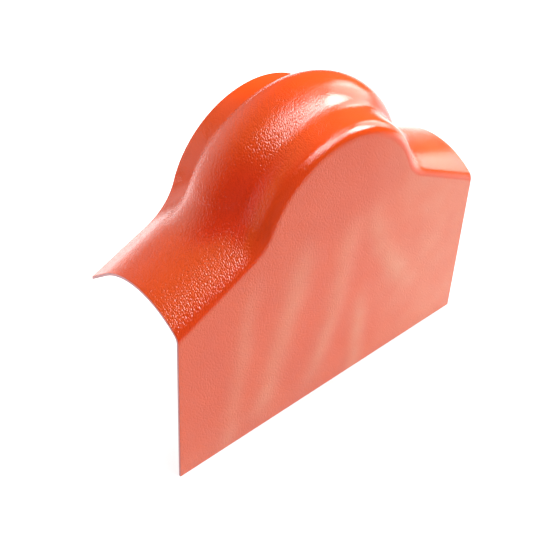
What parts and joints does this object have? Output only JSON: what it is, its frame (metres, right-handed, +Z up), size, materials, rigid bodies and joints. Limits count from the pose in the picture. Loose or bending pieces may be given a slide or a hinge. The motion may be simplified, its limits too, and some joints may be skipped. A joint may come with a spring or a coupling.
{
  "type": "ridge end tile",
  "caption": "Formed resin sheet that closes a roof ridge at the gable: flat plate, arched shoulders falling with the roof and a round hump with a half-round bead.",
  "frame": {"origin": "on the back face of the flat plate, on the centre line, halfway up the plate's straight side edges", "axes": "+X along the plate to the right as seen from the front, +Y from the plate back into the roof, +Z up"},
  "size_m": [0.4, 0.13, 0.3385],
  "materials": {
    "orange_resin": "glossy orange-red resin with a fine embossed grain on the weather side"
  },
  "bodies": {
    "root": {"ridge_end_tile": "orange_resin"}
  },
  "joints": []
}
